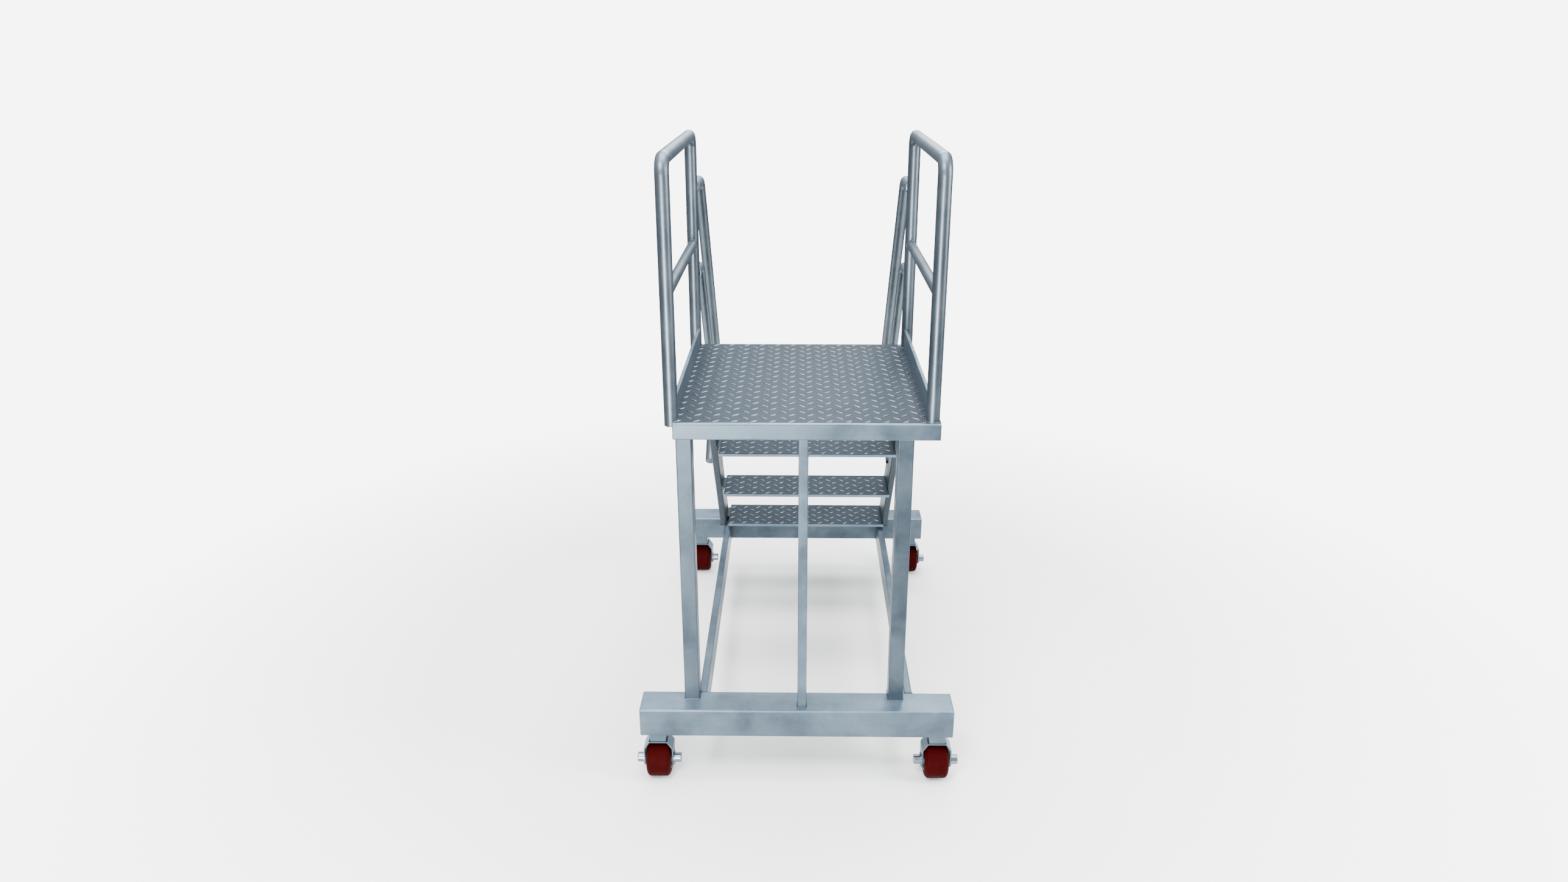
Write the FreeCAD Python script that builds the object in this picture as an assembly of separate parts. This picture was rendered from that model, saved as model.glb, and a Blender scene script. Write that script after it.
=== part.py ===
import FreeCAD
import Part
import math
import os

# Rolling warehouse ladder: a raised chequer-plate platform on a wheeled steel base, with a
# stair at the back. Millimetres, +Z up. While it is laid out, Y = 0 is the front face of the
# front base beam and Z = 0 the floor. The last step moves everything so that X = Y = 0 is
# the middle of the overall footprint.
V = FreeCAD.Vector

# ---- driving dimensions ------------------------------------------------------------------
# base
beam_height = 102.0
beam_depth = 114.0
beam_wall = 4.0
beam_round = 6.0
beam_top = 291.0
base_length = 1646.0           # front face of the front beam to back face of the rear beam
front_beam_x = (-556.0, 495.0)
rear_beam_x = (-536.0, 552.0)
end_cap_thickness = 6.0
cap_edge_round = 4.2
base_rail_width = 27.0
base_rail_wall = 3.0
base_rail_centre = 351.0

# posts under the platform
post_width = 50.0
post_depth = 60.0
post_wall = 3.0
post_front = 68.0
post_left_edges = (-409.0, 279.0)
strut_width = 30.0
strut_wall = 2.5
strut_round = 3.0
strut_front = 21.0
strut_centre = -13.0

# platform
deck_top = 1306.0
deck_thickness = 5.0
plate_edge_round = 2.0
platform_x = (-409.0, 400.0)
platform_length = 905.0
rim_height = 53.0
rim_depth = 56.0
rim_wall = 3.0
rim_lip = 9.0                  # front lip that the deck plate butts against
rim_round = 8.0
rim_cap_round = 2.5
rear_member_depth = 100.0
toe_board_height = 72.0
toe_board_thickness = 11.0
toe_board_inner = (-396.0, 363.0)

# round tube rails
tube_radius = 21.2
tube_wall = 2.6
small_tube_radius = 16.85
small_tube_wall = 2.3
cope_gap = 0.05                # clearance left where one tube is shaped to sit on another
handrail_x = (-414.0, 376.0)
handrail_front = 32.0
handrail_rear = 868.0
handrail_height = 766.0        # deck to the centre of the top tube
mid_rail_height = 386.0
handrail_bend = 40.0
handrail_feet = (-16.0, 0.0)   # foot level from the deck: the left tubes are set into the edge

# stair
stringer_outer = 383.0
stringer_thickness = 27.0
stringer_wall = 3.0
stringer_angle = 51.0
stringer_foot = (1460.0, 1627.0)   # where its two edges meet the top of the base
tread_x = (-345.0, 362.0)
tread_depth = 217.0
tread_thickness = 12.5
tread_plate = 5.0
tread_lip = 4.0
tread_fronts = (1421.0, 1181.0, 952.0, 760.0)
tread_tops = (316.5, 567.5, 840.5, 1073.0)
cleat_length = 100.0
cleat_from_front = 94.0
cleat_width = 40.0
cleat_thickness = 3.0
cleat_height = 19.0
bolt_radius = 4.0
bolt_gap = 0.1
bolt_head_radius = 6.5
bolt_head = 5.0
bolt_head_round = 1.5
bolt_shank = 14.0
bolt_drop = 15.0               # bolt line below the tread's top
bolt_inset = 22.0

# stair rails
stair_rail_x = (-404.2, 368.0)
stair_rail_angle = 53.3
stair_rail_level = 1893.0
stair_rail_corner = 1066.0
stair_mid_level = 1584.0
stair_mid_corner = 1016.0
stair_rail_bend = 60.0
stair_leg_lap = 45.0           # length of the leg that laps the stringer
stair_leg_level = 722.0        # height at which the leg crosses the stringer's upper edge

# casters
wheel_radius = 62.5
wheel_width = 84.0
tread_flat = 54.0
shoulder_drop = 24.0
core_radius = 38.0
hub_radius = 17.0
hub_width = 90.0
core_face_inset = 1.0          # core's rim from the tyre's side face
core_rim = 6.0                 # thickness of the core's rim at its edge
core_rim_root = 9.0            # and where it meets the web
web_setback = 20.0             # web's face from the tyre's side face
axle_radius = 10.0
running_gap = 0.05
axle_half_length = 66.0
nut_radius = 16.5
nut_flange_radius = 23.0
nut_flange = 3.0
axle_half_overall = 75.5
nut_round = 3.0
fork_half_width = 50.0
fork_plate = 4.0
fork_top_half = 32.0
fork_top = 144.5
fork_shoulder = 28.0
fork_half_depth = 30.0
fork_end_radius = 26.0
fork_shoulder_inset = 1.2      # extra drop of the plate's inside corner at the shoulder
fork_top_inset = 2.2           # and its inward shift at the top
block_width = 55.0
block_bottom = 145.0
block_round = 3.0
king_pin_radius = 8.0
king_head_radius = 13.0
king_head = 7.0
king_nut_radius = 12.0
king_nut = 9.0
king_chamber_radius = 14.0
king_chamber = 14.0
king_nut_lift = 1.0            # nut above the chamber's floor
king_thread = 2.0              # pin beyond the nut
caster_places = {
    "front_left": (-502.0, beam_depth / 2),
    "front_right": (448.0, beam_depth / 2),
    "rear_left": (-484.0, base_length - beam_depth / 2),
    "rear_right": (500.0, base_length - beam_depth / 2),
}

# ---- derived values ----------------------------------------------------------------------
beam_bottom = beam_top - beam_height
rim_bottom = deck_top - rim_height
plate_bottom = deck_top - deck_thickness
stringer_slope = math.tan(math.radians(stringer_angle))
parts = {}


# ---- shape helpers -----------------------------------------------------------------------
def box(x, y, z):
    """A block between the low and high value of each axis."""
    return Part.makeBox(x[1] - x[0], y[1] - y[0], z[1] - z[0], V(x[0], y[0], z[0]))


def rod(radius, start, end):
    """A solid cylinder between two points."""
    axis = V(*end) - V(*start)
    return Part.makeCylinder(radius, axis.Length, V(*start), axis)


def edges_along(shape, axis):
    """The straight edges that run along axis."""
    found = []
    for edge in shape.Edges:
        a, b = edge.Vertexes[0].Point, edge.Vertexes[-1].Point
        if edge.Length > 0 and abs((b - a).dot(axis)) > 0.999 * edge.Length:
            found.append(edge)
    return found


def box_tube(x, y, z, axis, wall, outside_round):
    """A rectangular hollow section, open at both ends, with its long edges rounded."""
    outer = box(x, y, z)
    outer = outer.makeFillet(outside_round, edges_along(outer, axis))
    grow = [wall if abs(c) < 0.5 else -1.0 for c in axis]
    spans = [(s[0] + g, s[1] - g) for s, g in zip((x, y, z), grow)]
    inner = box(*spans)
    inner = inner.makeFillet(max(outside_round - wall, 0.8), edges_along(inner, axis))
    return outer.cut(inner)


def end_cap(x, y, z, side, corner_round):
    """A plate that closes a section's end: side is -1 or 1, the way that it faces along X."""
    plate = box(x, y, z)
    plate = plate.makeFillet(corner_round, edges_along(plate, V(1, 0, 0)))
    outward = x[0] if side < 0 else x[1]
    rim = [e for e in plate.Edges if all(abs(v.Point.x - outward) < 1e-6 for v in e.Vertexes)]
    return plate.makeFillet(cap_edge_round, rim)


def rounded_path(points, bend):
    """A wire of straight runs joined by tangent arcs of one radius."""
    corners = [V(*p) for p in points]
    edges = []
    start = corners[0]
    for before, corner, after in zip(corners, corners[1:], corners[2:]):
        inward = (before - corner).normalize()
        outward = (after - corner).normalize()
        half = inward.getAngle(outward) / 2
        reach = bend / math.tan(half)
        first = corner + inward * reach
        last = corner + outward * reach
        bisector = (inward + outward).normalize()
        middle = corner + bisector * (bend / math.sin(half) - bend)
        edges.append(Part.LineSegment(start, first).toShape())
        edges.append(Part.Arc(first, middle, last).toShape())
        start = last
    edges.append(Part.LineSegment(start, corners[-1]).toShape())
    return Part.Wire(edges)


def sweep(points, bend, radius):
    """A solid round bar along a path."""
    path = rounded_path(points, bend)
    start, along = V(*points[0]), V(*points[1]) - V(*points[0])
    profile = Part.Wire([Part.makeCircle(radius, start, along)])
    return path.makePipeShell([profile], True, False)


def bent_tube(points, bend, radius, wall):
    """A round tube, open at both ends."""
    return sweep(points, bend, radius).cut(sweep(points, bend, radius - wall))


def along_y_extrusion(points, y):
    """An outline in X and Z, run along Y."""
    wire = Part.makePolygon([V(x, y[0], z) for x, z in points + points[:1]])
    return Part.Face(wire).extrude(V(0, y[1] - y[0], 0))


def along_x_extrusion(points, x):
    """An outline in Y and Z, run along X."""
    wire = Part.makePolygon([V(x[0], y, z) for y, z in points + points[:1]])
    return Part.Face(wire).extrude(V(x[1] - x[0], 0, 0))


# ---- base --------------------------------------------------------------------------------
def beam_and_caps(x, y):
    """A transverse base beam and the two plates that close its ends."""
    z = (beam_bottom, beam_top)
    cap = end_cap_thickness
    tube = box_tube((x[0] + cap, x[1] - cap), y, z, V(1, 0, 0), beam_wall, beam_round)
    caps = [end_cap((x[0], x[0] + cap), y, z, -1, beam_round),
            end_cap((x[1] - cap, x[1]), y, z, 1, beam_round)]
    return tube, caps


def make_base():
    rear = (base_length - beam_depth, base_length)
    front_tube, front_caps = beam_and_caps(front_beam_x, (0, beam_depth))
    rear_tube, rear_caps = beam_and_caps(rear_beam_x, rear)
    parts["front_beam"] = front_tube
    parts["rear_beam"] = rear_tube
    parts["beam_end_caps"] = Part.makeCompound(front_caps + rear_caps)
    half = base_rail_width / 2
    for name, side in (("left", -1), ("right", 1)):
        x = side * base_rail_centre
        parts["base_rail_" + name] = box_tube(
            (x - half, x + half), (beam_depth, rear[0]), (beam_bottom, beam_top),
            V(0, 1, 0), base_rail_wall, beam_wall)


def make_posts():
    z = (beam_top, rim_bottom)
    for name, x in zip(("left", "right"), post_left_edges):
        parts["post_" + name] = box_tube(
            (x, x + post_width), (post_front, post_front + post_depth), z,
            V(0, 0, 1), post_wall, beam_wall)
    half = strut_width / 2
    parts["centre_strut"] = box_tube(
        (strut_centre - half, strut_centre + half), (strut_front, strut_front + strut_width),
        z, V(0, 0, 1), strut_wall, strut_round)


# ---- platform ----------------------------------------------------------------------------
def rim_outline(x):
    """The rim's outside: a box with a lip along its front that stands as high as the deck."""
    outline = [(0, rim_bottom), (rim_depth, rim_bottom), (rim_depth, plate_bottom),
               (rim_lip, plate_bottom), (rim_lip, deck_top), (0, deck_top)]
    solid = along_x_extrusion(outline, x)
    top = [e for e in edges_along(solid, V(1, 0, 0))
           if e.Vertexes[0].Point.y < 1 and e.Vertexes[0].Point.z > plate_bottom]
    solid = solid.makeFillet(rim_round, top)
    bottom = [e for e in edges_along(solid, V(1, 0, 0)) if e.Vertexes[0].Point.z < rim_bottom + 1]
    return solid.makeFillet(beam_wall, bottom)


def handrail_holes():
    """The room that the left tubes' feet take out of the platform's edge."""
    low, high = deck_top + handrail_feet[0], deck_top + 1
    return [rod(tube_radius + cope_gap, (handrail_x[0], y, low), (handrail_x[0], y, high))
            for y in (handrail_front, handrail_rear)]


def make_platform():
    cap = end_cap_thickness
    low, high = platform_x
    holes = handrail_holes()
    rim = rim_outline((low + cap, high - cap))
    cavity = box((low, high), (rim_wall, rim_depth - rim_wall),
                 (rim_bottom + rim_wall, plate_bottom - rim_wall))
    parts["platform_rim"] = rim.cut(cavity).cut(holes[0])

    back = (platform_length - rear_member_depth, platform_length)
    z = (rim_bottom, plate_bottom)
    rear = box_tube((low + cap, high - cap), back, z, V(1, 0, 0), rim_wall, beam_wall)
    parts["platform_rear_member"] = rear.cut(holes[1])

    caps = []
    for x, side in (((low, low + cap), -1), ((high - cap, high), 1)):
        front_cap = rim_outline(x)
        outward = x[0] if side < 0 else x[1]
        edges = [e for e in front_cap.Edges
                 if all(abs(v.Point.x - outward) < 1e-6 for v in e.Vertexes)
                 and min(v.Point.y for v in e.Vertexes) < rim_lip - 0.5]
        front_cap = front_cap.makeFillet(rim_cap_round, edges)
        rear_cap = end_cap(x, back, z, side, beam_wall)
        for piece in (front_cap, rear_cap):
            for hole in holes:
                piece = piece.cut(hole)
            caps.append(piece)
    parts["platform_end_caps"] = Part.makeCompound(caps)

    for name, x in zip(("left", "right"), post_left_edges):
        parts["platform_bearer_" + name] = box_tube(
            (x, x + post_width), (rim_depth, back[0]), z, V(0, 1, 0), post_wall, beam_wall)

    deck = box(platform_x, (rim_lip, platform_length), (plate_bottom, deck_top))
    deck = deck.makeFillet(plate_edge_round, [e for e in deck.Edges
                                 if min(v.Point.y for v in e.Vertexes) > platform_length - 1
                                 and min(v.Point.z for v in e.Vertexes) > deck_top - 1])
    for hole in holes:
        deck = deck.cut(hole)
    parts["deck_plate"] = deck


def make_toe_boards():
    z = (deck_top, deck_top + toe_board_height)
    for i, name in enumerate(("left", "right")):
        side = -1 if i == 0 else 1
        inner = toe_board_inner[i]
        x = sorted((inner, inner + side * toe_board_thickness))
        board = box(x, (handrail_front, handrail_rear), z)
        board = board.makeFillet(plate_edge_round, [e for e in edges_along(board, V(0, 1, 0))
                                       if e.Vertexes[0].Point.z > z[1] - 1])
        for y in (handrail_front, handrail_rear):
            board = board.cut(rod(tube_radius + cope_gap, (handrail_x[i], y, z[0] - 1),
                                  (handrail_x[i], y, z[1] + 1)))
        solids = sorted(board.Solids, key=lambda s: s.Volume)
        parts["toe_board_" + name] = solids[-1]


def make_platform_rails():
    top = deck_top + handrail_height
    for i, name in enumerate(("left", "right")):
        x = handrail_x[i]
        foot = deck_top + handrail_feet[i]
        corners = [(x, handrail_front, foot), (x, handrail_front, top),
                   (x, handrail_rear, top), (x, handrail_rear, foot)]
        parts["platform_handrail_" + name] = bent_tube(
            corners, handrail_bend, tube_radius, tube_wall)
        level = deck_top + mid_rail_height
        mid = bent_tube([(x, handrail_front, level), (x, handrail_rear, level)],
                        0, small_tube_radius, small_tube_wall)
        parts["platform_mid_rail_" + name] = cope(mid, platform_posts(x))


def platform_posts(x):
    """The outside of one platform rail's two uprights, with clearance, to shape other tubes."""
    return [rod(tube_radius + cope_gap, (x, y, deck_top - 50), (x, y, deck_top + 1000))
            for y in (handrail_front, handrail_rear)]


def cope(tube, others):
    """The largest piece of a tube that is left outside the others."""
    for other in others:
        tube = tube.cut(other)
    return sorted(tube.Solids, key=lambda s: s.Volume)[-1]


# ---- stair -------------------------------------------------------------------------------
def stringer_edge(foot, z):
    """Y of a stringer edge at height z, for the edge that meets the base at foot."""
    return foot - (z - beam_top) / stringer_slope


def stringer_outline(inset, z):
    """The stringer's side outline in Y and Z, drawn in by inset square to its long edges."""
    shift = inset / math.sin(math.radians(stringer_angle))
    near, far = stringer_foot[0] + shift, stringer_foot[1] - shift
    return [(stringer_edge(near, z[0]), z[0]), (stringer_edge(far, z[0]), z[0]),
            (stringer_edge(far, z[1]), z[1]), (stringer_edge(near, z[1]), z[1])]


def stringer_x(side):
    return tuple(sorted((side * stringer_outer, side * (stringer_outer - stringer_thickness))))


def stringer_block(side):
    """The stringer's outside as one solid block."""
    return along_x_extrusion(stringer_outline(0, (beam_top, rim_bottom)), stringer_x(side))


def make_stringers():
    slope = V(0, -math.cos(math.radians(stringer_angle)), math.sin(math.radians(stringer_angle)))
    for name, side in (("left", -1), ("right", 1)):
        block = stringer_block(side)
        block = block.makeFillet(beam_wall, edges_along(block, slope))
        x = stringer_x(side)
        wall = stringer_wall
        cavity = along_x_extrusion(
            stringer_outline(wall, (beam_top - 20, rim_bottom + 20)), (x[0] + wall, x[1] - wall))
        stringer = block.cut(cavity)
        for hole in bolt_shanks(side, bolt_radius + bolt_gap):
            stringer = stringer.cut(hole)
        parts["stringer_" + name] = stringer


def bolt_points():
    """Y and Z of each tread bolt."""
    found = []
    for front, top in zip(tread_fronts, tread_tops):
        start = front + cleat_from_front
        for y in (start + bolt_inset, start + cleat_length - bolt_inset):
            found.append((y, top - bolt_drop))
    return found


def bolt_shanks(side, radius):
    inner = side * (stringer_outer - stringer_thickness)
    head_face = inner - side * cleat_thickness
    return [rod(radius, (head_face, y, z), (head_face + side * bolt_shank, y, z))
            for y, z in bolt_points()]


def make_treads():
    blocks = [stringer_block(side) for side in (-1, 1)]
    for number, (front, top) in enumerate(zip(tread_fronts, tread_tops), 1):
        y = (front, front + tread_depth)
        tread = box(tread_x, y, (top - tread_thickness, top))
        tread = tread.makeFillet(tread_lip, [e for e in edges_along(tread, V(1, 0, 0))
                                             if e.Vertexes[0].Point.z > top - 1])
        pocket = box((tread_x[0] - 1, tread_x[1] + 1), (y[0] + tread_lip, y[1] - tread_lip),
                     (top - tread_thickness - 1, top - tread_plate))
        tread = tread.cut(pocket)
        for block in blocks:
            tread = tread.cut(block)
        parts["tread_%d" % number] = sorted(tread.Solids, key=lambda s: s.Volume)[-1]


def make_cleats_and_bolts():
    cleats, bolts = [], []
    for side in (-1, 1):
        inner = side * (stringer_outer - stringer_thickness)
        holes = bolt_shanks(side, bolt_radius + bolt_gap)
        for front, top in zip(tread_fronts, tread_tops):
            y = (front + cleat_from_front, front + cleat_from_front + cleat_length)
            z = top - tread_plate
            leg = box(sorted((inner, inner - side * cleat_thickness)), y, (z - cleat_height, z))
            shelf = box(sorted((inner, inner - side * cleat_width)), y,
                        (z - cleat_thickness, z))
            cleat = leg.fuse(shelf).removeSplitter()
            for hole in holes:
                cleat = cleat.cut(hole)
            cleats.append(cleat.Solids[0])
        head_face = inner - side * cleat_thickness
        for y, z in bolt_points():
            shank = rod(bolt_radius, (head_face, y, z), (head_face + side * bolt_shank, y, z))
            head = Part.makeCylinder(bolt_head_radius, bolt_head,
                                     V(head_face, y, z), V(-side, 0, 0))
            head = head.makeFillet(bolt_head_round, [e for e in head.Edges
                                         if abs(e.BoundBox.Center.x - head_face) > bolt_head - 1])
            bolts.append(shank.fuse(head).removeSplitter().Solids[0])
    parts["tread_cleats"] = Part.makeCompound(cleats)
    parts["tread_bolts"] = Part.makeCompound(bolts)


def make_stair_rails():
    rail_slope = math.tan(math.radians(stair_rail_angle))
    leg = V(0, math.sin(math.radians(stringer_angle)), math.cos(math.radians(stringer_angle)))
    foot_y = stringer_edge(stringer_foot[1], stair_leg_level)
    crossing = V(0, foot_y, stair_leg_level)
    # the leg stands square to the stringer and meets the rail's sloping line
    rise = stair_rail_level - rail_slope * (foot_y - stair_rail_corner) - stair_leg_level
    reach = rise / (leg.z + rail_slope * leg.y)
    low = crossing + leg * reach
    end = crossing - leg * stair_leg_lap
    for i, (name, side) in enumerate((("left", -1), ("right", 1))):
        x = stair_rail_x[i]
        posts = platform_posts(handrail_x[i])
        rail = bent_tube([(x, handrail_rear, stair_rail_level),
                          (x, stair_rail_corner, stair_rail_level),
                          (x, low.y, low.z), (x, end.y, end.z)],
                         stair_rail_bend, tube_radius, tube_wall)
        parts["stair_handrail_" + name] = cope(rail, posts + [stringer_block(side)])

        # the mid-rail runs beside the handrail's slope and stops on its leg
        drop = stair_mid_level - rail_slope * (foot_y - stair_mid_corner) - stair_leg_level
        stop = crossing + leg * (drop / (leg.z + rail_slope * leg.y))
        mid = bent_tube([(x, handrail_rear, stair_mid_level),
                         (x, stair_mid_corner, stair_mid_level),
                         (x, stop.y, stop.z)],
                        stair_rail_bend, small_tube_radius, small_tube_wall)
        leg_solid = rod(tube_radius + cope_gap, (x, end.y, end.z), (x, low.y, low.z))
        parts["stair_mid_rail_" + name] = cope(mid, posts + [leg_solid])


# ---- casters -----------------------------------------------------------------------------
def wheel_solid(x, y, z, profile):
    """A ring turned about the axle line from (distance along X, radius) points."""
    wire = Part.makePolygon([V(x + a, y, z + r) for a, r in profile + profile[:1]])
    return Part.Face(wire).revolve(V(x, y, z), V(1, 0, 0), 360)


def make_tyre(x, y, z):
    half, flat = wheel_width / 2, tread_flat / 2
    steps = 6
    shoulder = []
    for k in range(steps + 1):
        turn = math.radians(90.0 * k / steps)
        shoulder.append((flat + (half - flat) * math.sin(turn),
                         wheel_radius - shoulder_drop * (1 - math.cos(turn))))
    inner = core_radius + running_gap
    right = [p for p in shoulder if p[1] > inner + 0.1] + [(half, inner)]
    left = [(-a, r) for a, r in reversed(right)]
    return wheel_solid(x, y, z, right + left)


def make_core(x, y, z):
    half, hub = wheel_width / 2, hub_width / 2
    edge, web = half - core_face_inset, half - web_setback
    bore = axle_radius + running_gap
    right = [(edge, core_radius), (edge, core_radius - core_rim),
             (web, core_radius - core_rim_root), (web, hub_radius), (hub, hub_radius), (hub, bore)]
    left = [(-a, r) for a, r in reversed(right)]
    return wheel_solid(x, y, z, right + left)


def make_fork(x, y):
    """Bent plate: flat top, sloping shoulders and two upright legs with round ends."""
    w, t, s = fork_half_width, fork_plate, fork_shoulder
    z = wheel_radius
    outer = [(w, 0), (w, fork_top - s), (fork_top_half, fork_top)]
    inner = [(w - t, 0), (w - t, fork_top - s - fork_shoulder_inset),
             (fork_top_half - fork_top_inset, fork_top - t)]
    outline = [(x + a, b) for a, b in outer] + [(x - a, b) for a, b in outer[::-1]]
    hollow = [(x + a, b) for a, b in inner] + [(x - a, b) for a, b in inner[::-1]]
    depth = (y - fork_half_depth, y + fork_half_depth)
    shell = along_y_extrusion(outline, depth).cut(
        along_y_extrusion(hollow, (depth[0] - 1, depth[1] + 1)))
    span = (x - w - 1, x + w + 1)
    legs = along_x_extrusion([(y - fork_end_radius, z), (y + fork_end_radius, z),
                              (depth[1], fork_top - s), (depth[1], fork_top + 1),
                              (depth[0], fork_top + 1), (depth[0], fork_top - s)], span)
    ends = rod(fork_end_radius, (span[0], y, z), (span[1], y, z))
    fork = shell.common(legs.fuse(ends))
    fork = fork.cut(rod(axle_radius + running_gap, (span[0], y, z), (span[1], y, z)))
    return fork.cut(rod(king_pin_radius + running_gap, (x, y, fork_top - t - 1),
                        (x, y, fork_top + 1)))


def make_axle_nuts(x, y, z):
    nuts = []
    for side in (-1, 1):
        start = x + side * fork_half_width
        flange = Part.makeCylinder(nut_flange_radius, nut_flange, V(start, y, z), V(side, 0, 0))
        length = axle_half_overall - fork_half_width
        body = Part.makeCylinder(nut_radius, length, V(start, y, z), V(side, 0, 0))
        far = x + side * axle_half_overall
        body = body.makeFillet(nut_round, [e for e in body.Edges if abs(e.BoundBox.Center.x - far) < 0.1])
        bore_depth = axle_half_length + 1 - fork_half_width
        bore = Part.makeCylinder(axle_radius + running_gap, bore_depth,
                                 V(start, y, z), V(side, 0, 0))
        nuts.append(flange.fuse(body).removeSplitter().cut(bore).Solids[0])
    return Part.makeCompound(nuts)


def make_king_pin(x, y):
    """The pin with its head under the fork, and the nut in the block's chamber."""
    head_top = fork_top - fork_plate
    nut_bottom = beam_bottom - king_chamber + king_nut_lift
    head = Part.makeCylinder(king_head_radius, king_head, V(x, y, head_top - king_head))
    pin_top = nut_bottom + king_nut + king_thread
    shank = rod(king_pin_radius, (x, y, head_top), (x, y, pin_top))
    corners = [V(x + king_nut_radius * math.cos(math.radians(60 * k)),
                 y + king_nut_radius * math.sin(math.radians(60 * k)), nut_bottom)
               for k in range(6)]
    nut = Part.Face(Part.makePolygon(corners + corners[:1])).extrude(V(0, 0, king_nut))
    nut = nut.cut(rod(king_pin_radius + running_gap, (x, y, nut_bottom - 1),
                      (x, y, pin_top + 1)))
    return Part.makeCompound([head.fuse(shank).removeSplitter().Solids[0], nut])


def make_block(x, y):
    half = block_width / 2
    block = box((x - half, x + half), (y - half, y + half), (block_bottom, beam_bottom))
    block = block.makeFillet(block_round, edges_along(block, V(0, 0, 1)))
    block = block.cut(rod(king_pin_radius + running_gap, (x, y, block_bottom - 1),
                          (x, y, beam_bottom)))
    return block.cut(rod(king_chamber_radius, (x, y, beam_bottom - king_chamber),
                         (x, y, beam_bottom + 1)))


def make_casters():
    z = wheel_radius
    for name, (x, y) in caster_places.items():
        parts[name + "_mount_block"] = make_block(x, y)
        parts[name + "_king_pin"] = make_king_pin(x, y)
        parts[name + "_fork"] = make_fork(x, y)
        axle = rod(axle_radius, (x - axle_half_length, y, z), (x + axle_half_length, y, z))
        parts[name + "_axle"] = axle
        parts[name + "_axle_nuts"] = make_axle_nuts(x, y, z)
        parts[name + "_wheel_core"] = make_core(x, y, z)
        parts[name + "_tyre"] = make_tyre(x, y, z)


# ---- build and write ---------------------------------------------------------------------
def export_all():
    whole = Part.makeCompound(list(parts.values()))
    extent = whole.optimalBoundingBox(False, False)
    shift = V(-extent.Center.x, -extent.Center.y, 0)
    print("overall", [round(v, 2) for v in (extent.XLength, extent.YLength, extent.ZLength)])
    print("moved by", [round(v, 3) for v in shift], "lowest point", round(extent.ZMin, 4))
    os.makedirs("parts", exist_ok=True)
    for name, shape in sorted(parts.items()):
        shape.translate(shift)
        if not shape.isValid():
            print("not valid:", name)
        shape.exportStep("parts/%s.step" % name)
    print(len(parts), "nodes,", sum(len(s.Solids) for s in parts.values()), "solids")


make_base()
make_posts()
make_platform()
make_toe_boards()
make_platform_rails()
make_stringers()
make_treads()
make_cleats_and_bolts()
make_stair_rails()
make_casters()
export_all()
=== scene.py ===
import math

import bmesh
import bpy
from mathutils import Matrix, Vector


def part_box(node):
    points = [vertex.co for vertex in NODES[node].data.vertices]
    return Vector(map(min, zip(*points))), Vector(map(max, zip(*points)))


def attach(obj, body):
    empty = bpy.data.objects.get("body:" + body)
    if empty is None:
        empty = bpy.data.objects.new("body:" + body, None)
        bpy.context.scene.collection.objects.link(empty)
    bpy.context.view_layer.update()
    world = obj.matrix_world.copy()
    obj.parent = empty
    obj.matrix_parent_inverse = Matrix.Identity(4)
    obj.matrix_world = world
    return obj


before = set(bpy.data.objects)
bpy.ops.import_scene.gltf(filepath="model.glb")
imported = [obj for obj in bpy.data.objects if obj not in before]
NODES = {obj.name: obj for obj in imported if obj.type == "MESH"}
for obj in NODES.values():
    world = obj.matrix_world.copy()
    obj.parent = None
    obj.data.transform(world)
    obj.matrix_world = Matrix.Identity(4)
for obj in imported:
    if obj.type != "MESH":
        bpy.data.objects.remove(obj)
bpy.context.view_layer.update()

# Looks for the rolling warehouse ladder. Metres, +Z up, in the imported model's own frame.
CORNERS = ("front_left", "front_right", "rear_left", "rear_right")
SIDES = ("left", "right")

# ---- driving values ----------------------------------------------------------------------
LUG_PITCH = 0.0576
LUG_HALF_LENGTH = 0.0145
LUG_HALF_WIDTH = 0.0040
LUG_HEIGHT = 0.0018
LUG_SINK = 0.0004
LUG_ANGLE = math.radians(39)
LUG_MARGIN = 0.004            # least distance from a lug's tip to the plate's edge
LUG_SIDES = 20
LUG_POINT = 1.3               # 1 gives a plain oval, more makes the ends sharper
LUG_PROFILE = ((1.0, -LUG_SINK), (1.0, 0.05 * LUG_HEIGHT), (0.84, 0.62 * LUG_HEIGHT),
               (0.55, 0.93 * LUG_HEIGHT), (0.2, LUG_HEIGHT))   # outline's scale, height

WELD_RADIUS = 0.0022
WELD_STEP = 0.003             # distance between two ripples' sample points
WELD_SIDES = 8
WELD_RIPPLE = 0.13            # how far a ripple swells or shrinks, as a share of the radius
WELD_TIP = 0.35               # size of an open bead's ends, as a share of the radius
SADDLE_STEPS = 48             # steps round a rail where it meets an upright
SADDLE_SCRAP = 4              # a stair rail's saddle run of this many points or fewer is left out
FOOT_STEPS = 60               # points round a handrail's foot
STITCHES = 5
STITCH_LENGTH = 0.045
SAME_LEVEL = 0.001            # points this close above the lowest count as lying on it

PLUG_INSET = 0.0003
PLUG_BULGE = 0.003
PLUG_SIDES = 32
PLUG_STEPS = 5
STRINGER_ANGLE = math.radians(51.0)

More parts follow.
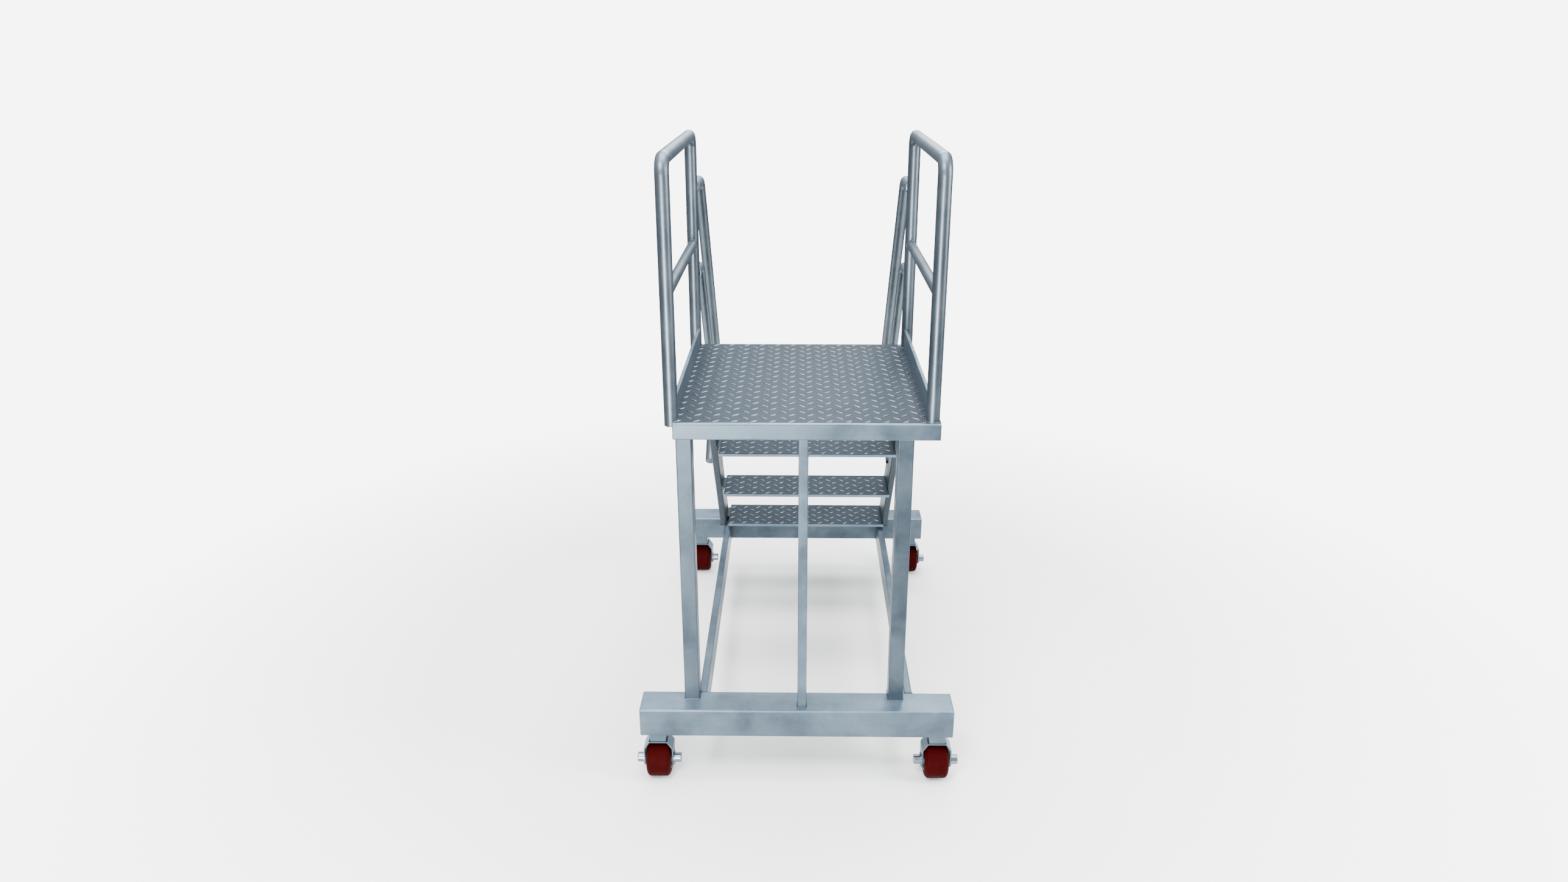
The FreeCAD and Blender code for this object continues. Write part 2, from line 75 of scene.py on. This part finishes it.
CAMERA_BACK = 3.0036          # from the front beam's front face
CAMERA_HEIGHT = 2.3732
CAMERA_OFFSET = -0.0024       # from the front beam's middle
CAMERA_PITCH = math.radians(69.52)
CAMERA_YAW = math.radians(0.75)
CAMERA_LENS = 24.44
SENSOR_WIDTH = 36.0
FLOOR_RADIUS = 3.2
FLOOR_FADE = 1.5              # distance at which the floor begins to fade
WORLD_LIGHT = 2.0
BACKDROP_LIGHT = 7.0
LAMPS = (                     # name, place, target, size, watts
    ("key", (-1.3, -3.5, 4.6), (0, 0, 1.1), (1.6, 1.6), 340),
    ("low_front", (-0.9, -4.6, 0.7), (0, 0, 1.4), (1.1, 1.6), 380),
    ("fill", (3.4, -1.6, 2.4), (0, 0, 1.0), (0.9, 2.4), 210),
    ("back", (0.4, 3.4, 4.2), (0, 0, 1.0), (2.6, 1.4), 220),
    ("top", (0, 0, 5.2), (0, 0, 0), (3.4, 3.4), 470),
)


# ---- materials ---------------------------------------------------------------------------
class Nodes:
    """A material's node tree, with short calls to add and join nodes."""

    def __init__(self, name):
        self.material = bpy.data.materials.new(name)
        self.material.use_nodes = True
        self.tree = self.material.node_tree
        self.shader = self.tree.nodes["Principled BSDF"]
        self.coords = self.add("ShaderNodeTexCoord").outputs["Object"]

    def add(self, kind, **settings):
        """A new node with the given settings."""
        node = self.tree.nodes.new(kind)
        for key, value in settings.items():
            setattr(node, key, value)
        return node

    def join(self, output, socket):
        """A link from an output to an input."""
        self.tree.links.new(output, socket)

    def noise(self, scale, detail, roughness=0.5, stretch=(1, 1, 1), distortion=0.0):
        """Noise in the object's own coordinates, squeezed along each axis by stretch."""
        mapping = self.add("ShaderNodeMapping")
        mapping.inputs["Scale"].default_value = stretch
        self.join(self.coords, mapping.inputs["Vector"])
        noise = self.add("ShaderNodeTexNoise")
        noise.inputs["Scale"].default_value = scale
        noise.inputs["Detail"].default_value = detail
        noise.inputs["Roughness"].default_value = roughness
        noise.inputs["Distortion"].default_value = distortion
        self.join(mapping.outputs["Vector"], noise.inputs["Vector"])
        return noise.outputs["Fac"]

    def ramp(self, factor, stops):
        """Colours at given places of a factor."""
        ramp = self.add("ShaderNodeValToRGB")
        elements = ramp.color_ramp.elements
        while len(elements) < len(stops):
            elements.new(0.5)
        for element, (place, colour) in zip(elements, stops):
            element.position = place
            element.color = (*colour, 1)
        self.join(factor, ramp.inputs["Fac"])
        return ramp.outputs["Color"]

    def span(self, factor, low, high, start=0.3, end=0.7):
        """A factor between start and end, spread from low to high."""
        node = self.add("ShaderNodeMapRange")
        for socket, value in zip(("From Min", "From Max", "To Min", "To Max"),
                                 (start, end, low, high)):
            node.inputs[socket].default_value = value
        self.join(factor, node.inputs["Value"])
        return node.outputs["Result"]

    def multiply(self, colour, factor, amount):
        """Darkens a colour by another one."""
        mix = self.add("ShaderNodeMix", data_type="RGBA", blend_type="MULTIPLY")
        mix.inputs["Factor"].default_value = amount
        self.join(colour, mix.inputs["A"])
        self.join(factor, mix.inputs["B"])
        return mix.outputs["Result"]

    def clouded(self, clouds, level, contrast, blue):
        """A steel grey that is lighter and darker by contrast with the clouds."""
        return self.ramp(clouds, [(0.28, grey(level * (1 - contrast), blue)),
                                  (0.5, grey(level, blue)),
                                  (0.74, grey(level * (1 + contrast), blue * 0.8))])

    def mix(self, factor, colour, other):
        """A colour that turns into another one as the factor rises."""
        mix = self.add("ShaderNodeMix", data_type="RGBA")
        self.join(factor, mix.inputs["Factor"])
        self.join(colour, mix.inputs["A"])
        self.join(other, mix.inputs["B"])
        return mix.outputs["Result"]

    def painted_side_mask(self):
        """1 on faces that stand upright, 0 on faces that lie flat: the mask for painted side
        light and shade.
        """
        coords = self.add("ShaderNodeTexCoord")
        parts = self.add("ShaderNodeSeparateXYZ")
        size = self.add("ShaderNodeMath", operation="ABSOLUTE")
        self.join(coords.outputs["Normal"], parts.inputs["Vector"])
        self.join(parts.outputs["Z"], size.inputs[0])
        return self.span(size.outputs["Value"], 1.0, 0.0, 0.35, 0.8)

    def bump(self, layers):
        """Bump from (factor, strength, distance) layers, one on another."""
        normal = None
        for factor, strength, distance in layers:
            bump = self.add("ShaderNodeBump")
            bump.inputs["Strength"].default_value = strength
            bump.inputs["Distance"].default_value = distance
            self.join(factor, bump.inputs["Height"])
            if normal:
                self.join(normal, bump.inputs["Normal"])
            normal = bump.outputs["Normal"]
        self.join(normal, self.shader.inputs["Normal"])


def grey(level, blue=0.0):
    """A steel grey, with some blue in it."""
    return (level * (1 - blue), level, level * (1 + blue))


def make_steel(name, level, contrast, metallic, rough, stretch, relief=1.0, blue=0.32,
               edge_tint=(0.86, 0.93, 1.0), painted_side_level=None):
    """Galvanised steel: soft clouds, faint streaks along the piece and a fine grain.

    Faces that don't look up or down take a second grey level, when it is given: painted shade
    where it is darker than the flat faces' grey, painted light where it is lighter.
    """
    m = Nodes(name)
    clouds = m.noise(7, 5, 0.55, distortion=0.4)
    streaks = m.noise(30, 4, 0.6, stretch)
    spangle = m.noise(95, 2, 0.5, distortion=1.2)
    base = m.clouded(clouds, level, contrast, blue)
    # Painted light and shade: upright faces get a grey of their own, lighter or darker than the
    # flat faces as if lit differently.
    if painted_side_level:
        base = m.mix(m.painted_side_mask(), base, m.clouded(clouds, painted_side_level, contrast, blue))
    streak_tint = m.ramp(streaks, [(0.3, grey(0.80)), (0.62, grey(1.0))])
    spangle_tint = m.ramp(spangle, [(0.35, grey(0.86)), (0.65, grey(1.0))])
    colour = m.multiply(m.multiply(base, streak_tint, 0.7), spangle_tint, 0.5)
    m.join(colour, m.shader.inputs["Base Color"])
    m.join(m.span(clouds, rough[0], rough[1]), m.shader.inputs["Roughness"])
    m.shader.inputs["Metallic"].default_value = metallic
    m.shader.inputs["Specular Tint"].default_value = (*edge_tint, 1)
    layers = [(m.noise(9, 1, distortion=0.4), 0.10 + 0.25 * relief, 0.002)]
    if relief:
        layers += [(m.noise(14, 2, 0.5, stretch), 0.25 * relief, 0.001),
                   (m.noise(900, 2), 0.05 * relief, 0.0002)]
    m.bump(layers)
    return m.material


def make_tread_rubber(name):
    """Smooth dark red wheel tread with a dusty, slightly worn running face."""
    m = Nodes(name)
    clouds = m.noise(22, 4, 0.6)
    scuffs = m.noise(60, 4, 0.65, (0.35, 1, 1))
    grain = m.noise(700, 2)
    base = m.ramp(clouds, [(0.3, (0.016, 0.0001, 0.0002)), (0.7, (0.024, 0.0002, 0.0004))])
    scuff_tint = m.ramp(scuffs, [(0.3, grey(0.78)), (0.6, grey(1.0))])
    m.join(m.multiply(base, scuff_tint, 0.6), m.shader.inputs["Base Color"])
    m.join(m.span(scuffs, 0.50, 0.66), m.shader.inputs["Roughness"])
    m.shader.inputs["Specular IOR Level"].default_value = 0.02
    m.bump([(scuffs, 0.10, 0.0005), (grain, 0.06, 0.0002)])
    return m.material


def make_cast_iron(name):
    """Dull grey iron with a coarse cast grain."""
    m = Nodes(name)
    clouds = m.noise(35, 4, 0.6)
    grain = m.noise(420, 3, 0.6)
    base = m.ramp(clouds, [(0.3, grey(0.09)), (0.7, grey(0.15))])
    m.join(base, m.shader.inputs["Base Color"])
    m.join(m.span(clouds, 0.45, 0.65), m.shader.inputs["Roughness"])
    m.shader.inputs["Metallic"].default_value = 0.7
    m.bump([(grain, 0.35, 0.0004)])
    return m.material


# The axis that a finish's streaks run along.
ALONG_X, ALONG_Y, ALONG_Z, EVEN = (0.06, 1, 1), (1, 0.06, 1), (1, 1, 0.06), (1, 1, 1)

# Name, level, contrast, metallic, roughness and streaks, then relief, blue, edge tint and painted
# side level (painted light and shade on upright faces) where they differ from make_steel's own.
STEEL = {
    # beam and rail: upright faces set darker than the tops, painted shade.
    "beam": make_steel("beam_steel_painted_side_shade", 0.150, 0.46, 0.50, (0.30, 0.46), ALONG_X, painted_side_level=0.082),
    "rail": make_steel("base_rail_steel_painted_side_shade", 0.125, 0.40, 0.55, (0.32, 0.48), ALONG_Y,
                       painted_side_level=0.078),
    # posts and strut: the beam's steel set darker, the posts most, as painted shade on the
    # uprights.
    "post": make_steel("post_steel_painted_shade", 0.056, 0.42, 0.55, (0.32, 0.46), ALONG_Z),
    "strut": make_steel("strut_steel_painted_shade", 0.095, 0.42, 0.55, (0.32, 0.46), ALONG_Z),
    "tube": make_steel("tube_steel", 0.120, 0.24, 0.85, (0.36, 0.42), ALONG_Z, 0.0, 0.20),
    "tube_level": make_steel("level_tube_steel", 0.100, 0.24, 0.85, (0.36, 0.42), ALONG_Y,
                             0.0, 0.20),
    # chequer plate: its top set far darker than the lugs, painted shade between them; its upright
    # sides set lighter, painted light.
    "plate": make_steel("chequer_steel_painted_light_shade", 0.020, 0.22, 0.50, (0.44, 0.56), EVEN, 0.4, 0.32,
                        (0.42, 0.50, 0.60), 0.17),
    # lugs: the plate's steel set much lighter, a painted highlight standing in for glancing
    # light.
    "lug": make_steel("lug_steel_painted_highlight", 0.150, 0.10, 0.85, (0.24, 0.32), EVEN, 0.0, 0.16),
    # stringers and tread cleats: the steel set very dark, painted shade on inner faces.
    "dark": make_steel("stringer_steel", 0.032, 0.24, 0.60, (0.40, 0.52), ALONG_Z),
    "caster": make_steel("caster_steel", 0.100, 0.20, 0.70, (0.30, 0.42), EVEN, 0.2),
    "bright": make_steel("fastener_steel", 0.200, 0.12, 0.95, (0.22, 0.32), EVEN, 0.0, 0.12),
}
TREAD_RED = make_tread_rubber("wheel_tread_red")
CAST = make_cast_iron("cast_iron")


def material_for(node):
    """The finish of a CAD node, by its name."""
    if node.endswith("_tyre"):
        return TREAD_RED
    if node.endswith("_wheel_core"):
        return CAST
    for endings, key in (
            (("_axle", "_axle_nuts", "_king_pin", "tread_bolts"), "bright"),
            (("_fork", "_mount_block"), "caster"),
            (("tread_1", "tread_2", "tread_3", "tread_4", "deck_plate"), "plate")):
        if node.endswith(endings):
            return STEEL[key]
    for start, key in (("base_rail", "rail"), ("post", "post"), ("centre_strut", "strut"),
                       ("platform_bearer", "rail"), ("stringer", "dark"), ("toe_board", "rail"),
                       ("tread_cleats", "dark"), ("platform_mid_rail", "tube_level"),
                       ("platform_handrail", "tube"), ("stair_", "tube")):
        if node.startswith(start):
            return STEEL[key]
    return STEEL["beam"]


for name, node in NODES.items():
    node.data.materials.clear()
    node.data.materials.append(material_for(name))


# ---- mesh helpers ------------------------------------------------------------------------
def add_piece(name, bm, material, body):
    """Turns a bmesh into a smooth piece that rides on a body."""
    bmesh.ops.recalc_face_normals(bm, faces=bm.faces)
    mesh = bpy.data.meshes.new(name)
    bm.to_mesh(mesh)
    bm.free()
    mesh.polygons.foreach_set("use_smooth", [True] * len(mesh.polygons))
    mesh.materials.append(material)
    piece = bpy.data.objects.new(name, mesh)
    bpy.context.scene.collection.objects.link(piece)
    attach(piece, body)


def bridge(bm, rings, closed=False):
    """Faces between each ring of points and the next one."""
    following = rings[1:] + rings[:1] if closed else rings[1:]
    for a, b in zip(rings, following):
        for k in range(len(a)):
            j = (k + 1) % len(a)
            bm.faces.new((a[k], a[j], b[j], b[k]))


def resample(points, step, closed):
    """Points about step apart along straight runs between the given ones."""
    found = []
    ends = points[1:] + points[:1] if closed else points[1:]
    for a, b in zip(points, ends):
        count = max(1, round((b - a).length / step))
        found += [a.lerp(b, k / count) for k in range(count)]
    return found if closed else found + [points[-1]]


def add_bead(bm, points, closed=True):
    """A rippled weld bead along a path, closed on itself or with pointed ends."""
    path = resample(points, WELD_STEP, closed)
    count = len(path)
    rings = []
    for i, p in enumerate(path):
        before = path[i - 1] if closed or i > 0 else p
        after = path[(i + 1) % count] if closed or i < count - 1 else p
        along = (after - before).normalized()
        across = along.cross(Vector((0.31, 0.23, 0.92))).normalized()
        other = along.cross(across)
        ripple = WELD_RADIUS * (1.0 + WELD_RIPPLE * (-1) ** i)
        if not closed and i in (0, count - 1):
            ripple = WELD_TIP * WELD_RADIUS
        turns = [2 * math.pi * k / WELD_SIDES for k in range(WELD_SIDES)]
        rings.append([bm.verts.new(p + ripple * (math.cos(t) * across + math.sin(t) * other))
                      for t in turns])
    bridge(bm, rings, closed)
    if not closed:
        bm.faces.new(rings[0])
        bm.faces.new(rings[-1][::-1])


def rectangle(low, high, axis, level):
    """The corners of a box's outline in the plane at level along axis (0, 1 or 2)."""
    a, b = [k for k in range(3) if k != axis]
    corners = []
    for u, v in ((low[a], low[b]), (high[a], low[b]), (high[a], high[b]), (low[a], high[b])):
        point = [0.0, 0.0, 0.0]
        point[axis], point[a], point[b] = level, u, v
        corners.append(Vector(point))
    return corners


def saddle(rail_x, rail_z, rail_radius, post, post_radius, side):
    """Where a level tube along Y meets an upright one at post, on its +Y or -Y side."""
    runs, run = [], []
    for k in range(SADDLE_STEPS + 1):
        turn = math.pi / 2 + 2 * math.pi * k / SADDLE_STEPS
        x = rail_x + rail_radius * math.cos(turn)
        inside = post_radius ** 2 - (x - post[0]) ** 2
        if inside > 0:
            run.append(Vector((x, post[1] + side * math.sqrt(inside),
                               rail_z + rail_radius * math.sin(turn))))
        elif run:
            runs.append(run)
            run = []
    if run:
        runs.append(run)
    return runs


def add_dome(bm, centre, facing, radius, bulge):
    """A shallow domed disc that closes a tube's open end."""
    turn = facing.to_track_quat("Z", "Y").to_matrix()
    rings = []
    for step in range(PLUG_STEPS):
        angle = math.pi / 2 * step / PLUG_STEPS
        ring = []
        for k in range(PLUG_SIDES):
            t = 2 * math.pi * k / PLUG_SIDES
            spot = Vector((math.cos(angle) * radius * math.cos(t),
                           math.cos(angle) * radius * math.sin(t), math.sin(angle) * bulge))
            ring.append(bm.verts.new(centre + turn @ spot))
        rings.append(ring)
    bridge(bm, rings)
    bm.faces.new(rings[-1])
    bm.faces.new(rings[0][::-1])


# ---- chequer lugs ------------------------------------------------------------------------
def add_lug(bm, centre, angle):
    """One raised lug: a low dome on a pointed oval."""
    rings = []
    for scale, height in LUG_PROFILE:
        ring = []
        for k in range(LUG_SIDES):
            turn = 2 * math.pi * k / LUG_SIDES
            u = LUG_HALF_LENGTH * math.cos(turn) * (0.35 + 0.65 * scale)
            bulge = math.copysign(abs(math.sin(turn)) ** LUG_POINT, math.sin(turn))
            v = LUG_HALF_WIDTH * bulge * scale
            ring.append(bm.verts.new(centre + Vector((
                u * math.cos(angle) - v * math.sin(angle),
                u * math.sin(angle) + v * math.cos(angle), height))))
        rings.append(ring)
    bridge(bm, rings)
    bm.faces.new(rings[-1])
    bm.faces.new(rings[0][::-1])


def make_lugs(name, low, high):
    """Two lattices of lugs, each leaning its own way, over a plate's top face."""
    bm = bmesh.new()
    reach_x = LUG_HALF_LENGTH * math.cos(LUG_ANGLE) + LUG_MARGIN
    reach_y = LUG_HALF_LENGTH * math.sin(LUG_ANGLE) + LUG_MARGIN
    for offset, lean in ((0.0, 1), (0.5, -1)):
        columns = int((high.x - low.x) / LUG_PITCH) + 1
        rows = int((high.y - low.y) / LUG_PITCH) + 1
        for i in range(columns):
            for j in range(rows):
                x = low.x + reach_x + (i + offset) * LUG_PITCH
                y = low.y + reach_y + (j + offset) * LUG_PITCH
                if x < high.x - reach_x and y < high.y - reach_y:
                    add_lug(bm, Vector((x, y, high.z)), lean * LUG_ANGLE)
    # The lugs take the lighter lug steel, a painted highlight.
    add_piece(name, bm, STEEL["lug"], "frame")


make_lugs("deck_lugs", *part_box("deck_plate"))
for number in (1, 2, 3, 4):
    make_lugs("tread_%d_lugs" % number, *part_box("tread_%d" % number))


# ---- welds -------------------------------------------------------------------------------
def make_upright_welds():
    """Beads round the feet and heads of the posts and the strut."""
    for name in ("post_left", "post_right", "centre_strut"):
        low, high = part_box(name)
        bm = bmesh.new()
        add_bead(bm, rectangle(low, high, 2, low.z))
        add_bead(bm, rectangle(low, high, 2, high.z))
        add_piece(name + "_welds", bm, STEEL["post"], "frame")


def make_base_rail_welds():
    """Beads round both ends of each base rail."""
    for side in SIDES:
        low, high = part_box("base_rail_" + side)
        bm = bmesh.new()
        add_bead(bm, rectangle(low, high, 1, low.y))
        add_bead(bm, rectangle(low, high, 1, high.y))
        add_piece("base_rail_%s_welds" % side, bm, STEEL["rail"], "frame")


def make_stringer_welds():
    """A bead round each stringer's foot on the rear beam."""
    for side in SIDES:
        name = "stringer_" + side
        low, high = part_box(name)
        foot = [v.co.y for v in NODES[name].data.vertices if v.co.z < low.z + SAME_LEVEL]
        corner_low = Vector((low.x, min(foot), low.z))
        corner_high = Vector((high.x, max(foot), low.z))
        bm = bmesh.new()
        add_bead(bm, rectangle(corner_low, corner_high, 2, low.z))
        add_piece(name + "_weld", bm, STEEL["dark"], "frame")


def make_rail_welds():
    """Beads where the mid-rails and the stair rails meet the handrail's uprights."""
    for side in SIDES:
        low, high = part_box("platform_handrail_" + side)
        radius = (high.x - low.x) / 2
        x = (low.x + high.x) / 2
        posts = {-1: (x, low.y + radius), 1: (x, high.y - radius)}
        mid_low, mid_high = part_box("platform_mid_rail_" + side)
        bm = bmesh.new()
        mid = ((mid_low.x + mid_high.x) / 2, (mid_low.z + mid_high.z) / 2,
               (mid_high.z - mid_low.z) / 2)
        for end, post in posts.items():
            for run in saddle(*mid, post, radius, -end):
                add_bead(bm, run, closed=False)
        for name in ("stair_handrail_", "stair_mid_rail_"):
            rail_low, rail_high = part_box(name + side)
            rail_radius = (rail_high.x - rail_low.x) / 2
            level = rail_high.z - rail_radius
            for run in saddle((rail_low.x + rail_high.x) / 2, level, rail_radius,
                              posts[1], radius, 1):
                if len(run) > SADDLE_SCRAP:
                    add_bead(bm, run, closed=False)
        add_piece("rail_welds_" + side, bm, STEEL["tube"], "frame")


def make_handrail_foot_welds():
    """A bead round each handrail foot, over the part of it that stands on the deck."""
    deck_low, deck_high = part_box("deck_plate")
    for side in SIDES:
        low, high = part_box("platform_handrail_" + side)
        radius = (high.x - low.x) / 2
        x = (low.x + high.x) / 2
        bm = bmesh.new()
        for y in (low.y + radius, high.y - radius):
            ring = [Vector((x + radius * math.cos(t), y + radius * math.sin(t), deck_high.z))
                    for t in (2 * math.pi * k / FOOT_STEPS
                              for k in range(-FOOT_STEPS // 2, FOOT_STEPS // 2))]
            on_deck = [p for p in ring if deck_low.x < p.x < deck_high.x]
            add_bead(bm, on_deck, closed=len(on_deck) == len(ring))
        add_piece("handrail_foot_welds_" + side, bm, STEEL["tube"], "frame")


def make_toe_board_stitches():
    """Short beads along the outer foot of each toe board."""
    for side, outward in (("left", -1), ("right", 1)):
        low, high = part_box("toe_board_" + side)
        x = low.x if outward < 0 else high.x
        bm = bmesh.new()
        for k in range(STITCHES):
            y = low.y + (high.y - low.y) * (k + 0.5) / STITCHES
            add_bead(bm, [Vector((x, y - STITCH_LENGTH / 2, low.z)),
                          Vector((x, y + STITCH_LENGTH / 2, low.z))], closed=False)
        add_piece("toe_board_stitches_" + side, bm, STEEL["rail"], "frame")


def make_block_welds():
    """A bead round the top of each caster's mount block."""
    for corner in CORNERS:
        low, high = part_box(corner + "_mount_block")
        bm = bmesh.new()
        add_bead(bm, rectangle(low, high, 2, high.z))
        add_piece(corner + "_block_weld", bm, STEEL["caster"], "frame")


def make_tube_plugs():
    """Domed plugs in the tube ends that would otherwise stand open."""
    for side in SIDES:
        bm = bmesh.new()
        for name in ("stair_handrail_", "stair_mid_rail_"):
            low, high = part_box(name + side)
            radius = (high.x - low.x) / 2
            start = Vector(((low.x + high.x) / 2, low.y + PLUG_BULGE, high.z - radius))
            if name == "stair_handrail_":
                start.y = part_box("platform_handrail_" + side)[1].y - radius
            add_dome(bm, start, Vector((0, -1, 0)), radius - PLUG_INSET, PLUG_BULGE)
        if side == "left":
            low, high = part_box("stair_handrail_left")
            radius = (high.x - low.x) / 2
            leg = Vector((0, math.sin(STRINGER_ANGLE), math.cos(STRINGER_ANGLE)))
            end = Vector(((low.x + high.x) / 2, 0, low.z + radius * math.sin(STRINGER_ANGLE)))
            ends = [v.co.y for v in NODES["stair_handrail_left"].data.vertices
                    if v.co.z < low.z + SAME_LEVEL]
            end.y = sum(ends) / len(ends) - radius * math.cos(STRINGER_ANGLE)
            add_dome(bm, end, -leg, radius - PLUG_INSET, PLUG_BULGE)
            low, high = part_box("platform_handrail_left")
            radius = (high.x - low.x) / 2
            for y in (low.y + radius, high.y - radius):
                foot = Vector(((low.x + high.x) / 2, y, low.z))
                add_dome(bm, foot, Vector((0, 0, -1)), radius - PLUG_INSET, PLUG_BULGE)
        add_piece("tube_plugs_" + side, bm, STEEL["tube"], "frame")


make_tube_plugs()
make_upright_welds()
make_base_rail_welds()
make_stringer_welds()
make_rail_welds()
make_handrail_foot_welds()
make_toe_board_stitches()
make_block_welds()


# ---- room, light and camera --------------------------------------------------------------
def make_floor():
    """A pale floor that fades out well away from the ladder."""
    bm = bmesh.new()
    bmesh.ops.create_circle(bm, cap_ends=True, segments=64, radius=FLOOR_RADIUS)
    mesh = bpy.data.meshes.new("floor")
    bm.to_mesh(mesh)
    bm.free()
    floor = bpy.data.objects.new("floor", mesh)
    bpy.context.scene.collection.objects.link(floor)
    m = Nodes("floor_pale")
    m.shader.inputs["Base Color"].default_value = (0.90, 0.90, 0.885, 1)
    m.shader.inputs["Roughness"].default_value = 0.9
    m.shader.inputs["Specular IOR Level"].default_value = 0.1
    distance = m.add("ShaderNodeVectorMath", operation="LENGTH")
    m.join(m.coords, distance.inputs[0])
    m.join(m.span(distance.outputs["Value"], 1.0, 0.0, FLOOR_FADE, FLOOR_RADIUS),
           m.shader.inputs["Alpha"])
    mesh.materials.append(m.material)


def make_world():
    """A pale backdrop; the light that it gives is strong from above and dim from the sides."""
    world = bpy.data.worlds.new("studio")
    world.use_nodes = True
    tree = world.node_tree
    light = tree.nodes["Background"]
    coords = tree.nodes.new("ShaderNodeTexCoord")
    split = tree.nodes.new("ShaderNodeSeparateXYZ")
    ramp = tree.nodes.new("ShaderNodeValToRGB")
    tree.links.new(coords.outputs["Generated"], split.inputs["Vector"])
    tree.links.new(split.outputs["Z"], ramp.inputs["Fac"])
    tree.links.new(ramp.outputs["Color"], light.inputs["Color"])
    elements = ramp.color_ramp.elements
    elements[0].position, elements[0].color = 0.0, (0.16, 0.18, 0.19, 1)
    elements[1].position, elements[1].color = 0.75, (0.95, 0.98, 1.0, 1)
    light.inputs["Strength"].default_value = WORLD_LIGHT
    backdrop = tree.nodes.new("ShaderNodeBackground")
    backdrop.inputs["Color"].default_value = (1.0, 1.0, 0.985, 1)
    backdrop.inputs["Strength"].default_value = BACKDROP_LIGHT
    path = tree.nodes.new("ShaderNodeLightPath")
    mix = tree.nodes.new("ShaderNodeMixShader")
    tree.links.new(path.outputs["Is Camera Ray"], mix.inputs["Fac"])
    tree.links.new(light.outputs["Background"], mix.inputs[1])
    tree.links.new(backdrop.outputs["Background"], mix.inputs[2])
    tree.links.new(mix.outputs["Shader"], tree.nodes["World Output"].inputs["Surface"])
    bpy.context.scene.world = world


def add_softbox(name, place, target, size, power):
    """A rectangular area light that faces its target."""
    data = bpy.data.lights.new(name, "AREA")
    data.shape = "RECTANGLE"
    data.size, data.size_y = size
    data.energy = power
    lamp = bpy.data.objects.new(name, data)
    lamp.location = place
    lamp.rotation_euler = (Vector(target) - Vector(place)).to_track_quat("-Z", "Y").to_euler()
    bpy.context.scene.collection.objects.link(lamp)


def make_camera():
    """The camera at the place and angle found for the main view."""
    low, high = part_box("front_beam")
    data = bpy.data.cameras.new("camera")
    data.lens = CAMERA_LENS
    data.sensor_width = SENSOR_WIDTH
    camera = bpy.data.objects.new("camera", data)
    camera.location = ((low.x + high.x) / 2 + CAMERA_OFFSET, low.y - CAMERA_BACK, CAMERA_HEIGHT)
    camera.rotation_euler = (CAMERA_PITCH, 0, CAMERA_YAW)
    bpy.context.scene.collection.objects.link(camera)
    bpy.context.scene.camera = camera


make_floor()
make_world()
for lamp in LAMPS:
    add_softbox(*lamp)
make_camera()
